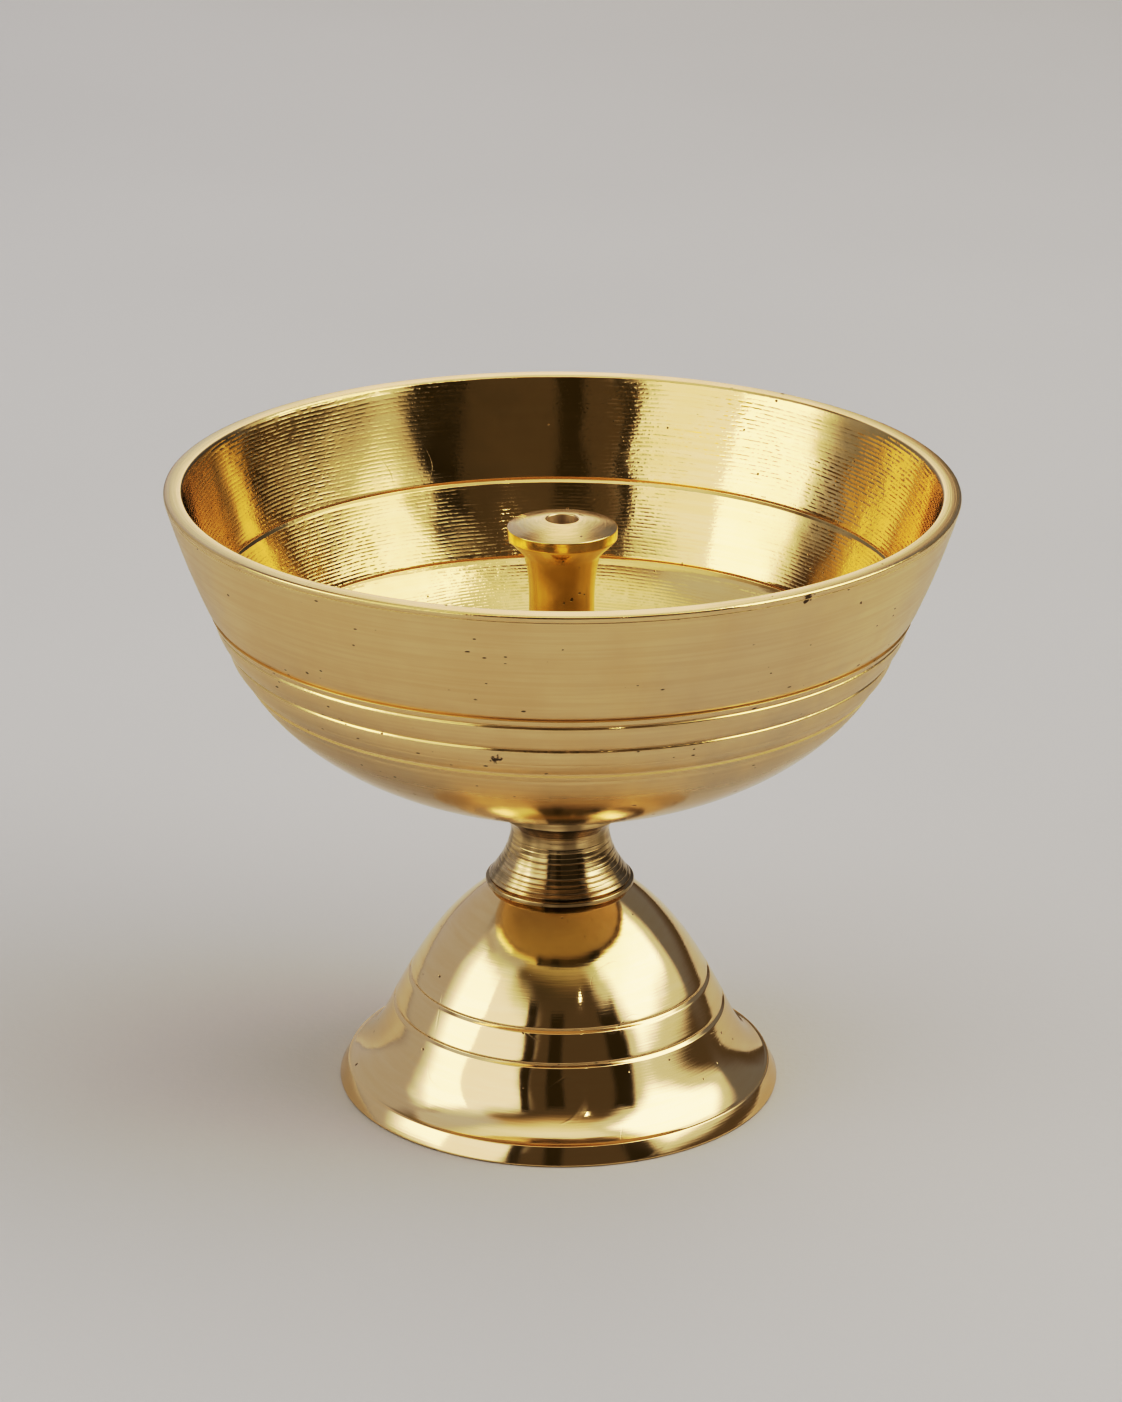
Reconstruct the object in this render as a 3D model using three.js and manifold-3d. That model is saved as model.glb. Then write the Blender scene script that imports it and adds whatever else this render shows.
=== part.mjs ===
// Brass diya: a footed oil lamp with a lift-out wick post.
// Millimetres, +Z up. The origin is the centre of the ring that the foot rests on.

import * as THREE from 'three';
import { mergeVertices } from 'three/addons/utils/BufferGeometryUtils.js';
import Module from 'manifold-3d';

// Stack of castings, from the table up
const footHeight = 26.9;
const neckHeight = 12.5;
const bowlHeight = 41;
const seatGap = 0.3; // dark seam between two pieces that seat on each other
const fitGap = 0.3; // radial clearance of a peg or stud in its bore

// Roundness of the turned pieces
const wideSegments = 52;
const slimSegments = 36;
const smallSegments = 24;

// Bowl, heights from its underside
const rimRadius = 50;
const rimWall = 2.4;
const rimEdge = 0.4; // softened edges of the rim face
const bellyRadius = 43; // half width and depth of the rounded belly
const bellyDepth = 26.9;
const beltHeight = 17.65; // where the belly meets the steep wall
const wallBow = 0.75; // how far the steep wall bulges beyond a straight cone
const dishWall = 1.7; // side wall of the dish below the lower inner groove
const floorThickness = 2.6;
const underseatRadius = 9; // flat spot on the underside for the neck
const padRadius = 9; // flat spot on the floor for the wick post

// Turned bands outside the bowl, from the belly up
const middleLine = 21.5;
const upperLine = 25.05;
const coveLine = 25.95;
const coveTop = 27.7;
const coveDepth = 0.35;
const lowerBandCrown = 0.32;
const upperBandCrown = 0.2;
const lineWidth = 0.5;
const lineDepth = 0.3;
const beltLineWidth = 0.9;

// Two grooves inside the bowl
const innerBeltHeight = 18.1;
const innerLineHeight = 27.7;
const innerLineWidth = 0.6;
const innerLineDepth = 0.3;

// Boss under the bowl that the stud screws into
const bossRadius = 4.5;
const bossLength = 9.5;
const studHoleDepth = 6.5;

// Threaded stud, washer and nut that hold the three castings together
const studRadius = 2.5;
const studChamfer = 0.4;
const studTail = 1.5; // stands out below the nut
const washerRadius = 6;
const washerThickness = 1;
const nutAcrossFlats = 8;
const nutHeight = 4;

// Neck, a turned collar
const lipRadius = 9.6;
const lipHeight = 0.7;
const lipEdge = 0.2;
const skirtRadius = 9.2; // just above the lip
const lipLineWidth = 0.3;
const lipLineDepth = 0.25;
const waistRadius = 6.36;
const waistHeight = 7.1;
const skirtHollow = 0.36; // how far the skirt curves in from a straight cone
const collarRadius = 8.6;
const collarHeight = 2.3;
const collarHollow = 0.55;
const ringCount = 8;
const ringDepth = 0.14;

// Foot, a hollow bell
const footRadius = 28.8;
const edgeHeight = 2.4;
const edgeTaper = 1.2;
const edgeRound = 0.3;
const restWidth = 2.3; // width of the ring that it rests on
const flareRadius = 27.3;
const flareTopHeight = 6.6;
const flareTopRadius = 23.65;
const flareHollow = 0.3;
const coneTopHeight = 16.6;
const coneTopRadius = 18.57;
const domeTopRadius = 8.9;
const domeBow = 0.72;
const crownThickness = 2.4;
const shellInset = 1.6; // the hollow is the outside moved in and down
const shellDrop = 1.6;
const lowerLineHeight = 10.7;
const higherLineHeight = 14.55;
const footLineWidth = 0.6;
const footLineDepth = 0.25;

// Wick post, heights from the underside of its flange
const postHeight = 31.9;
const discRadius = 7;
const discEdge = 1.4;
const discEdgeRound = 0.12;
const trumpetHeight = 2.1; // cone under the disc
const trumpetRadius = 4.9;
const stemRadius = 4.15;
const stemFlareHeight = 6.5;
const stemFlareHollow = 0.16;
const wickBoreRadius = 2;
const wickBoreEdge = 0.2;
const wickBoreFloor = 1.8;
const flangeRadius = 5.8;
const flangeThickness = 1.2;
const flangeBlend = 2.4;
const flangeBlendHollow = 0.5;
const pegRadius = 3;
const pegLength = 3.6;
const pegEdge = 0.3;
const portRadius = 1.5;
const portHeight = 4.2;

// Places that follow from the sizes above
const neckBase = footHeight + seatGap;
const bowlBase = neckBase + neckHeight + seatGap;
const innerRimRadius = rimRadius - rimWall;
const dishRadius = bellyRadius - dishWall;
const dishDepth = bellyDepth - floorThickness;
const padHeight = floorThickness + dishHeightAt(dishRadius, dishDepth, padRadius);
const socketRadius = pegRadius + fitGap;
const socketFloor = padHeight - pegLength;
const studBoreRadius = studRadius + fitGap;
const studHoleEnd = studHoleDepth - bossLength;
const bossBoreRadius = bossRadius + fitGap;
const bossBoreFloor = neckHeight - bossLength;
const postBase = bowlBase + padHeight + seatGap;
const washerTop = footHeight - crownThickness - seatGap;
const nutTop = washerTop - washerThickness - seatGap;
const studBottom = nutTop - nutHeight - studTail;
const studTop = bowlBase + studHoleEnd - fitGap;

const satinBrass = { color: 0xc9a765, roughness: 0.42, metalness: 1 };
const polishedBrass = { color: 0xd8b878, roughness: 0.16, metalness: 1 };
const deepBrass = { color: 0xc39238, roughness: 0.28, metalness: 1 };
const darkBrass = { color: 0x9b7c4a, roughness: 0.45, metalness: 1 };
const plainSteel = { color: 0xa9a69d, roughness: 0.4, metalness: 1 };

const lamp = new THREE.Group();

// A profile is a list of [radius, height] points, up the outside and down the inside.

// Points of a shallow curve from one point to another, to the right of the way when sag is positive
function bow(from, to, sag, steps) {
  const run = to[0] - from[0];
  const rise = to[1] - from[1];
  const length = Math.hypot(run, rise);
  const points = [];
  for (let i = 0; i <= steps; i += 1) {
    const t = i / steps;
    const offset = (4 * sag * t * (1 - t)) / length;
    points.push([from[0] + run * t + rise * offset, from[1] + rise * t - run * offset]);
  }
  return points;
}

// The three points of a V groove across a wall whose radius depends on height
function groove(radiusAt, height, width, depth) {
  const low = height - width / 2;
  const high = height + width / 2;
  return [
    [radiusAt(low), low],
    [radiusAt(height) - depth, height],
    [radiusAt(high), high],
  ];
}

// Inner points of a stretch of wall between two heights, leaving out its ends
function stretch(radiusAt, low, high, steps, crown = 0) {
  const points = [];
  for (let i = 1; i < steps; i += 1) {
    const t = i / steps;
    const height = low + (high - low) * t;
    points.push([radiusAt(height) + 4 * crown * t * (1 - t), height]);
  }
  return points;
}

// Points of a quarter-ellipse dish between two heights above its lowest point
function dish(halfWidth, depth, low, high, steps) {
  const start = Math.acos(1 - low / depth);
  const end = Math.acos(1 - high / depth);
  const points = [];
  for (let i = 0; i <= steps; i += 1) {
    const angle = start + ((end - start) * i) / steps;
    points.push([halfWidth * Math.sin(angle), depth * (1 - Math.cos(angle))]);
  }
  return points;
}

function raised(points, lift) {
  return points.map(([radius, height]) => [radius, height + lift]);
}

function dishRadiusAt(halfWidth, depth, height) {
  return halfWidth * Math.sqrt(1 - (1 - height / depth) ** 2);
}

function dishHeightAt(halfWidth, depth, radius) {
  return depth * (1 - Math.sqrt(1 - (radius / halfWidth) ** 2));
}

// A solid of revolution about Z
function turn(points, segments) {
  const outline = points.map(([radius, height]) => new THREE.Vector2(radius, height));
  const geometry = new THREE.LatheGeometry(outline, segments);
  geometry.rotateX(Math.PI / 2);
  return geometry;
}

// A ring's profile returns to its first point
function ring(points) {
  return [...points, points[0]];
}

function place(name, geometry, finish, height, parent = lamp) {
  const mesh = new THREE.Mesh(geometry, new THREE.MeshStandardMaterial(finish));
  mesh.name = name;
  mesh.position.z = height;
  parent.add(mesh);
  return mesh;
}

// Bowl

const beltRadius = dishRadiusAt(bellyRadius, bellyDepth, beltHeight);
const innerBeltRadius = dishRadiusAt(dishRadius, dishDepth, innerBeltHeight - floorThickness);

// Steep wall from a belt to the rim; the same rule shapes its outside and its inside
function steepWall(lowHeight, lowRadius, topRadius) {
  return (height) => {
    const t = (height - lowHeight) / (bowlHeight - lowHeight);
    return lowRadius + (topRadius - lowRadius) * t + 4 * wallBow * t * (1 - t);
  };
}

const outerWall = steepWall(beltHeight, beltRadius, rimRadius);
const innerWall = steepWall(innerBeltHeight, innerBeltRadius, innerRimRadius);

function bowlOutside() {
  const halfLine = lineWidth / 2;
  const halfBelt = beltLineWidth / 2;
  const bellyStart = dishHeightAt(bellyRadius, bellyDepth, underseatRadius);
  const cove = (height) => {
    const t = (height - coveLine) / (coveTop - coveLine);
    return outerWall(height) - coveDepth * (1 - t) ** 2;
  };
  return [
    [underseatRadius, 0],
    ...dish(bellyRadius, bellyDepth, bellyStart, beltHeight - halfBelt, 9),
    [beltRadius - lineDepth, beltHeight],
    [outerWall(beltHeight + halfBelt), beltHeight + halfBelt],
    ...stretch(outerWall, beltHeight + halfBelt, middleLine - halfLine, 4, lowerBandCrown),
    ...groove(outerWall, middleLine, lineWidth, lineDepth),
    ...stretch(outerWall, middleLine + halfLine, upperLine - halfLine, 4, upperBandCrown),
    ...groove(outerWall, upperLine, lineWidth, lineDepth),
    [outerWall(coveLine), coveLine],
    [cove(coveLine), coveLine + lineWidth / 4],
    ...stretch(cove, coveLine, coveTop, 3),
    [outerWall(coveTop), coveTop],
    ...stretch(outerWall, coveTop, bowlHeight - rimEdge, 4),
    [rimRadius, bowlHeight - rimEdge],
    [rimRadius - rimEdge, bowlHeight],
  ];
}

function bowlInside() {
  const halfLine = innerLineWidth / 2;
  const dishStart = dishHeightAt(dishRadius, dishDepth, padRadius);
  const dishEnd = innerBeltHeight - floorThickness - halfLine;
  const upwards = [
    ...raised(dish(dishRadius, dishDepth, dishStart, dishEnd, 8), floorThickness),
    [innerBeltRadius + innerLineDepth, innerBeltHeight],
    [innerWall(innerBeltHeight + halfLine), innerBeltHeight + halfLine],
    ...stretch(innerWall, innerBeltHeight + halfLine, innerLineHeight - halfLine, 4),
    ...groove(innerWall, innerLineHeight, innerLineWidth, -innerLineDepth),
    ...stretch(innerWall, innerLineHeight + halfLine, bowlHeight - rimEdge, 4),
    [innerRimRadius, bowlHeight - rimEdge],
    [innerRimRadius + rimEdge, bowlHeight],
  ];
  return upwards.reverse();
}

function bowl() {
  const profile = [
    [0, studHoleEnd],
    [studBoreRadius, studHoleEnd],
    [studBoreRadius, -bossLength],
    [bossRadius, -bossLength],
    [bossRadius, 0],
    ...bowlOutside(),
    ...bowlInside(),
    [socketRadius, padHeight],
    [socketRadius, socketFloor],
    [0, socketFloor],
  ];
  return place('bowl', turn(profile, wideSegments), satinBrass, bowlBase);
}

// Neck

function neck() {
  const skirtFoot = lipHeight + lipLineWidth;
  const skirt = bow([skirtRadius, skirtFoot], [waistRadius, waistHeight], -skirtHollow, 2 * ringCount);
  const ringed = skirt.map(([radius, height], i) => [i % 2 ? radius - ringDepth : radius, height]);
  const collarFoot = neckHeight - collarHeight;
  const collar = bow([waistRadius, waistHeight], [collarRadius, collarFoot], -collarHollow, 4);
  const profile = [
    [studBoreRadius, 0],
    [lipRadius - lipEdge, 0],
    [lipRadius, lipEdge],
    [lipRadius, lipHeight - lipEdge],
    [lipRadius - lipEdge, lipHeight],
    [skirtRadius - lipLineDepth, lipHeight + lipLineWidth / 2],
    ...ringed,
    ...collar.slice(1),
    [collarRadius, neckHeight],
    [bossBoreRadius, neckHeight],
    [bossBoreRadius, bossBoreFloor],
    [studBoreRadius, bossBoreFloor],
  ];
  return place('neck', turn(ring(profile), slimSegments), darkBrass, neckBase);
}

// Foot

// One side of the bell from its edge band to its crown, moved in by inset and down by drop
function bellSide(inset, drop, lines) {
  const cone = (height) => {
    const t = (height - flareTopHeight) / (coneTopHeight - flareTopHeight);
    return flareTopRadius + (coneTopRadius - flareTopRadius) * t;
  };
  const flareTop = [flareTopRadius, flareTopHeight];
  const coneTop = [coneTopRadius, coneTopHeight];
  const points = [
    ...bow([flareRadius, edgeHeight], flareTop, -flareHollow, 4),
    ...lines.flatMap((height) => groove(cone, height, footLineWidth, footLineDepth)),
    ...bow(coneTop, [domeTopRadius, footHeight], domeBow, 5),
  ];
  return points.map(([radius, height]) => [radius - inset, height - drop]);
}

function foot() {
  const edgeTop = footRadius - edgeTaper;
  const crownUnderside = footHeight - crownThickness;
  const inside = bellSide(shellInset, shellDrop, []).filter((point) => point[1] < crownUnderside);
  const profile = [
    [footRadius - restWidth, 0],
    [footRadius - edgeRound, 0],
    [footRadius, edgeRound],
    [edgeTop, edgeHeight],
    ...bellSide(0, 0, [lowerLineHeight, higherLineHeight]),
    [studBoreRadius, footHeight],
    [studBoreRadius, crownUnderside],
    [domeTopRadius - shellInset + shellDrop / 2, crownUnderside],
    ...inside.reverse(),
  ];
  return place('foot', turn(ring(profile), wideSegments), polishedBrass, 0);
}

// Wick post, a turned spindle with its oil ports cut across

const wasm = await Module();
wasm.setup();

function toSolid(geometry) {
  const bare = geometry.clone();
  bare.deleteAttribute('normal');
  bare.deleteAttribute('uv');
  const merged = mergeVertices(bare, 1e-4);
  const vertProperties = new Float32Array(merged.attributes.position.array);
  const triVerts = new Uint32Array(merged.index.array);
  return new wasm.Manifold(new wasm.Mesh({ numProp: 3, vertProperties, triVerts }));
}

function toGeometry(solid) {
  const mesh = solid.getMesh();
  const geometry = new THREE.BufferGeometry();
  geometry.setAttribute('position', new THREE.BufferAttribute(mesh.vertProperties, 3));
  geometry.setIndex(new THREE.BufferAttribute(mesh.triVerts, 1));
  geometry.computeVertexNormals();
  return geometry;
}

function wickPost() {
  const discUnderside = postHeight - discEdge;
  const trumpetFoot = discUnderside - trumpetHeight;
  const stemTop = trumpetFoot - stemFlareHeight;
  const stemFoot = flangeThickness + flangeBlend;
  const profile = [
    [0, -pegLength],
    [pegRadius - pegEdge, -pegLength],
    [pegRadius, pegEdge - pegLength],
    [pegRadius, 0],
    [flangeRadius, 0],
    ...bow([flangeRadius, flangeThickness], [stemRadius, stemFoot], -flangeBlendHollow, 4),
    ...bow([stemRadius, stemTop], [trumpetRadius, trumpetFoot], -stemFlareHollow, 4),
    [discRadius, discUnderside],
    [discRadius, postHeight - discEdgeRound],
    [discRadius - discEdgeRound, postHeight],
    [wickBoreRadius + wickBoreEdge, postHeight],
    [wickBoreRadius, postHeight - wickBoreEdge],
    [wickBoreRadius, wickBoreFloor],
    [0, wickBoreFloor],
  ];
  const spindle = turn(profile, slimSegments);
  const drill = new THREE.CylinderGeometry(portRadius, portRadius, 4 * flangeRadius, smallSegments);
  drill.rotateZ(Math.PI / 2);
  drill.translate(0, 0, portHeight);
  const drilled = toSolid(spindle).subtract(toSolid(drill));
  return place('wick_post', toGeometry(drilled), deepBrass, postBase);
}

// Stud, washer and nut

function tieStud() {
  const length = studTop - studBottom;
  const profile = [
    [0, 0],
    [studRadius - studChamfer, 0],
    [studRadius, studChamfer],
    [studRadius, length - studChamfer],
    [studRadius - studChamfer, length],
    [0, length],
  ];
  return place('tie_stud', turn(profile, smallSegments), plainSteel, studBottom);
}

function washer() {
  const profile = [
    [studBoreRadius, 0],
    [washerRadius, 0],
    [washerRadius, washerThickness],
    [studBoreRadius, washerThickness],
  ];
  return place('washer', turn(ring(profile), smallSegments), plainSteel, washerTop - washerThickness);
}

function nut() {
  const cornerRadius = nutAcrossFlats / Math.sqrt(3);
  const hexagon = new THREE.Shape();
  for (let i = 0; i < 6; i += 1) {
    const angle = (i * Math.PI) / 3;
    const corner = [cornerRadius * Math.cos(angle), cornerRadius * Math.sin(angle)];
    if (i === 0) {
      hexagon.moveTo(...corner);
    } else {
      hexagon.lineTo(...corner);
    }
  }
  hexagon.closePath();
  const bore = new THREE.Path();
  bore.absarc(0, 0, studBoreRadius, 0, 2 * Math.PI, true);
  hexagon.holes.push(bore);
  const options = { depth: nutHeight, bevelEnabled: false, curveSegments: smallSegments / 2 };
  return place('nut', new THREE.ExtrudeGeometry(hexagon, options), plainSteel, nutTop - nutHeight);
}

foot();
neck();
bowl();
wickPost();
tieStud();
washer();
nut();

export default lamp;
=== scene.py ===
import math

import bmesh
import bpy
from mathutils import Matrix, Vector
from mathutils.geometry import interpolate_bezier


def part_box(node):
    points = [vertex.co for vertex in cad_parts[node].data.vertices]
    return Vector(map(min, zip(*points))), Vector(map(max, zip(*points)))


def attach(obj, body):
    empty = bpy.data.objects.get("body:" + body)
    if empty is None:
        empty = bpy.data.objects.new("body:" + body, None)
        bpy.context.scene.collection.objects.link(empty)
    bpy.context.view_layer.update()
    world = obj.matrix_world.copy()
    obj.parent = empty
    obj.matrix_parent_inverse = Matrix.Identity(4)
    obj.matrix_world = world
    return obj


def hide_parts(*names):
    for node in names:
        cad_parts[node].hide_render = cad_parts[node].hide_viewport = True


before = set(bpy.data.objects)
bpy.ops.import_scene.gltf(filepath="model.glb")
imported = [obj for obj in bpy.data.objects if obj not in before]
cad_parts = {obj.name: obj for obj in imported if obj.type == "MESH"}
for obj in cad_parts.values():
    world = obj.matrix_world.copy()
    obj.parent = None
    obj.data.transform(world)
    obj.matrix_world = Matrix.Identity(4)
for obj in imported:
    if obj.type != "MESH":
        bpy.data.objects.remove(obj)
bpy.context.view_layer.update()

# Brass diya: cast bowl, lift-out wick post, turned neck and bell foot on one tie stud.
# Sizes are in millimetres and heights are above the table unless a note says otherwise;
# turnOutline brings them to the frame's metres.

mm = 0.001
seatGap = 0.3  # dark seam between two castings that seat on each other
fitGap = 0.3  # clearance of a peg, boss or stud in its bore
studRadius = 2.5
studBore = studRadius + fitGap
pegRadius = 3.0  # under the wick post
bossRadius = 4.5  # under the bowl, seated in the neck
cornerSegments = 4  # faces across a softened corner
fineSoft = 0.05  # softening of a fine groove's corners
grooveMargin = 0.1  # keeps the points of a side clear of its grooves
sharpAngle = 35  # degrees; flatter edges are shaded smooth
weldReach = 0.0002  # closer points become one


def nodeBox(node):
    low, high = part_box(node)
    return low / mm, high / mm


bowlLow, bowlHigh = nodeBox("bowl")
postLow, postHigh = nodeBox("wick_post")
neckLow, neckHigh = nodeBox("neck")
footLow, footHigh = nodeBox("foot")
studLow, studHigh = nodeBox("tie_stud")
washerLow, washerHigh = nodeBox("washer")
nutLow, nutHigh = nodeBox("nut")

# Camera

photo = {"height": 1402, "focal": 4456}  # pixels
viewpoint = {"back": 532, "height": 252.6, "pitch": 20.67, "roll": 0.4}  # mm and degrees


def placeCamera():
    lens = bpy.data.cameras.new("studioCamera")
    lens.sensor_width = 36
    lens.lens = photo["focal"] / photo["height"] * lens.sensor_width
    camera = bpy.data.objects.new("studioCamera", lens)
    aim = Matrix.Rotation(math.radians(90 - viewpoint["pitch"]), 4, "X")
    turn = Matrix.Rotation(math.radians(viewpoint["roll"]), 4, "Z")
    place = Matrix.Translation((0, -viewpoint["back"] * mm, viewpoint["height"] * mm))
    camera.matrix_world = place @ aim @ turn
    bpy.context.collection.objects.link(camera)
    bpy.context.scene.camera = camera


placeCamera()
print("camera placed")

# Outlines are lists of (radius, height) points; a third number softens that corner


def ellipseArc(halfWidth, depth, low, high, steps):
    start, end = math.acos(1 - low / depth), math.acos(1 - high / depth)
    angles = [start + (end - start) * i / steps for i in range(steps + 1)]
    return [(halfWidth * math.sin(a), depth * (1 - math.cos(a))) for a in angles]


def ellipseRadius(halfWidth, depth, height):
    return halfWidth * math.sqrt(1 - (1 - height / depth) ** 2)


def ellipseHeight(halfWidth, depth, radius):
    return depth * (1 - math.sqrt(1 - (radius / halfWidth) ** 2))


def sweep(start, startLean, end, endLean, steps, pull=0.36):
    # a smooth curve; each lean is in degrees from upright towards the axis
    a, b = Vector(start), Vector(end)
    reach = (b - a).length * pull
    leanA, leanB = math.radians(startLean), math.radians(endLean)
    handleA = a + Vector((-math.sin(leanA), math.cos(leanA))) * reach
    handleB = b - Vector((-math.sin(leanB), math.cos(leanB))) * reach
    return [tuple(p) for p in interpolate_bezier(a, handleA, handleB, b, steps + 1)]


def bulge(size, t):
    # a parabola that is 0 at both ends and full in the middle
    return 4 * size * t * (1 - t)


def stretch(radiusAt, low, high, steps, crown=0):
    # the points of a wall between two heights, without its ends
    shares = [i / steps for i in range(1, steps)]
    heights = [low + (high - low) * t for t in shares]
    return [(radiusAt(h) + bulge(crown, t), h) for t, h in zip(shares, heights)]


def groove(radiusAt, height, width, depth, lip=0.1, root=0.08):
    low, high = height - width / 2, height + width / 2
    return [
        (radiusAt(low), low, lip),
        (radiusAt(height) - depth, height, root),
        (radiusAt(high), high, lip),
    ]


def lifted(points, rise):
    return [(p[0], p[1] + rise, *p[2:]) for p in points]


def alongSide(side):
    # reads the radius of a row of points at any height between its ends
    def radiusAt(height):
        for (r0, h0), (r1, h1) in zip(side, side[1:]):
            if h0 <= height <= h1:
                return r0 + (r1 - r0) * (height - h0) / (h1 - h0)
        return side[-1][0]
    return radiusAt


def turnOutline(outline, steps, ring=False):
    bm = bmesh.new()
    corners = {}
    line = []
    for radius, height, *soft in outline:
        point = bm.verts.new((radius * mm, 0, height * mm))
        line.append(point)
        if soft:
            corners.setdefault(soft[0], []).append(point)
    for a, b in zip(line, line[1:]):
        bm.edges.new((a, b))
    if ring:
        bm.edges.new((line[-1], line[0]))
    for size, points in corners.items():
        bmesh.ops.bevel(
            bm, geom=points, offset=size * mm, offset_type="OFFSET", segments=cornerSegments,
            profile=0.5, affect="VERTICES", material=-1,
        )
    bmesh.ops.spin(
        bm, geom=bm.verts[:] + bm.edges[:], cent=(0, 0, 0), axis=(0, 0, 1), dvec=(0, 0, 0),
        angle=2 * math.pi, steps=steps, use_merge=True, use_duplicate=False,
    )
    bmesh.ops.remove_doubles(bm, verts=bm.verts[:], dist=weldReach * mm)
    bmesh.ops.recalc_face_normals(bm, faces=bm.faces[:])
    return bm


def makeObject(bm, name, finishes):
    mesh = bpy.data.meshes.new(name)
    for finish in finishes:
        mesh.materials.append(finish)
    bm.to_mesh(mesh)
    bm.free()
    made = bpy.data.objects.new(name, mesh)
    bpy.context.collection.objects.link(made)
    return made


def addPiece(bm, name, node, body, finishes, finishAt=None):
    # finishAt picks one of the finishes by a face's radius, height and normal
    for face in bm.faces:
        face.smooth = True
        if finishAt:
            middle = face.calc_center_median() / mm
            finish = finishAt(middle.xy.length, middle.z, face.normal)
            face.material_index = finishes.index(finish)
    piece = makeObject(bm, name, finishes)
    piece.data.set_sharp_from_angle(angle=math.radians(sharpAngle))
    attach(piece, body)
    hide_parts(node)


# Shader helpers

number, direction = "NodeSocketFloat", "NodeSocketVector"


def connect(tree, value, socket):
    if isinstance(value, bpy.types.NodeSocket):
        tree.links.new(value, socket)
    else:
        socket.default_value = value


def calc(tree, operation, *values, clamp=False):
    node = tree.nodes.new("ShaderNodeMath")
    node.operation, node.use_clamp = operation, clamp
    for value, socket in zip(values, node.inputs):
        connect(tree, value, socket)
    return node.outputs[0]


def vectorCalc(tree, operation, *values):
    node = tree.nodes.new("ShaderNodeVectorMath")
    node.operation = operation
    slots = (0, 3) if operation == "SCALE" else (0, 1)
    for value, slot in zip(values, slots):
        connect(tree, value, node.inputs[slot])
    single = operation in ("LENGTH", "DISTANCE", "DOT_PRODUCT")
    return node.outputs["Value"] if single else node.outputs[0]


def remap(tree, value, low, high, toLow=0.0, toHigh=1.0):
    node = tree.nodes.new("ShaderNodeMapRange")
    node.interpolation_type = "SMOOTHSTEP"
    for entry, socket in zip((value, low, high, toLow, toHigh), node.inputs):
        connect(tree, entry, socket)
    return node.outputs[0]


def blendColours(tree, share, a, b):
    node = tree.nodes.new("ShaderNodeMix")
    node.data_type = "RGBA"
    for entry, socket in zip((share, a, b), (node.inputs[0], node.inputs[6], node.inputs[7])):
        connect(tree, entry, socket)
    return node.outputs[2]


def noise(tree, vector, scale, detail=2.0, roughness=0.5, w=None):
    node = tree.nodes.new("ShaderNodeTexNoise")
    node.noise_dimensions = "3D" if w is None else "4D"
    connect(tree, vector, node.inputs["Vector"])
    connect(tree, scale, node.inputs["Scale"])
    connect(tree, detail, node.inputs["Detail"])
    connect(tree, roughness, node.inputs["Roughness"])
    if w is not None:
        connect(tree, w, node.inputs["W"])
    return node.outputs[0]


def addBump(tree, height, depth, normal=None):
    # a negative depth sinks what the height picks out; depths are in mm
    bump = tree.nodes.new("ShaderNodeBump")
    bump.invert = depth < 0
    bump.inputs["Distance"].default_value = abs(depth) * mm
    connect(tree, height, bump.inputs["Height"])
    if normal:
        connect(tree, normal, bump.inputs["Normal"])
    return bump.outputs[0]


def newMaterial(name):
    material = bpy.data.materials.new(name)
    material.use_nodes = True
    return material, material.node_tree, material.node_tree.nodes["Principled BSDF"]


def newGroup(name, inputs, output):
    group = bpy.data.node_groups.new(name, "ShaderNodeTree")
    for label, kind, value in inputs:
        socket = group.interface.new_socket(label, in_out="INPUT", socket_type=kind)
        socket.default_value = value
    group.interface.new_socket(output, in_out="OUTPUT", socket_type=number)
    given = group.nodes.new("NodeGroupInput").outputs
    wanted = group.nodes.new("NodeGroupOutput").inputs[0]
    return group, given, wanted


def placeGroup(tree, group, **values):
    node = tree.nodes.new("ShaderNodeGroup")
    node.node_tree = group
    for label, value in values.items():
        connect(tree, value, node.inputs[label])
    return node.outputs[0]


def perMetre(tree, spacing):
    # spacings are in mm and places in metres
    return calc(tree, "DIVIDE", 1 / mm, spacing)


def millimetresApart(tree, a, b):
    return calc(tree, "DIVIDE", vectorCalc(tree, "DISTANCE", a, b), mm)


def randomPush(tree, vector, scale, size):
    # moves a vector by up to half the size each way
    node = tree.nodes.new("ShaderNodeTexNoise")
    connect(tree, vector, node.inputs["Vector"])
    connect(tree, scale, node.inputs["Scale"])
    push = vectorCalc(tree, "SUBTRACT", node.outputs["Color"], (0.5, 0.5, 0.5))
    return vectorCalc(tree, "ADD", vector, vectorCalc(tree, "SCALE", push, size))


def turnedPlace(tree, place):
    # splits a point into its heading round the lamp's axis, its radius and its height vector
    flat = vectorCalc(tree, "MULTIPLY", place, (1, 1, 0))
    upright = vectorCalc(tree, "MULTIPLY", place, (0, 0, 1))
    return vectorCalc(tree, "NORMALIZE", flat), vectorCalc(tree, "LENGTH", flat), upright


def roundAndUp(tree, heading, upright, around, along):
    # a place whose two rates say how fast a pattern changes round the axis and along it
    across = vectorCalc(tree, "SCALE", heading, around)
    return vectorCalc(tree, "ADD", across, vectorCalc(tree, "SCALE", upright, along))


def makeTurnedLines():
    # tool lines that run round the lamp's axis; Pitch is their spacing along the surface, in mm
    inputs = [("Place", direction, (0, 0, 0)), ("Around", number, 2.0), ("Pitch", number, 0.5),
              ("Detail", number, 2.0), ("Shift", number, 0.0)]
    tree, given, wanted = newGroup("turnedLines", inputs, "Lines")
    heading, radius, upright = turnedPlace(tree, given["Place"])
    rate = perMetre(tree, given["Pitch"])
    where = roundAndUp(tree, heading, upright, given["Around"], rate)
    outward = calc(tree, "MULTIPLY_ADD", radius, rate, given["Shift"])
    lines = noise(tree, where, scale=1.0, detail=given["Detail"], roughness=0.55, w=outward)
    connect(tree, lines, wanted)
    return tree


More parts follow.
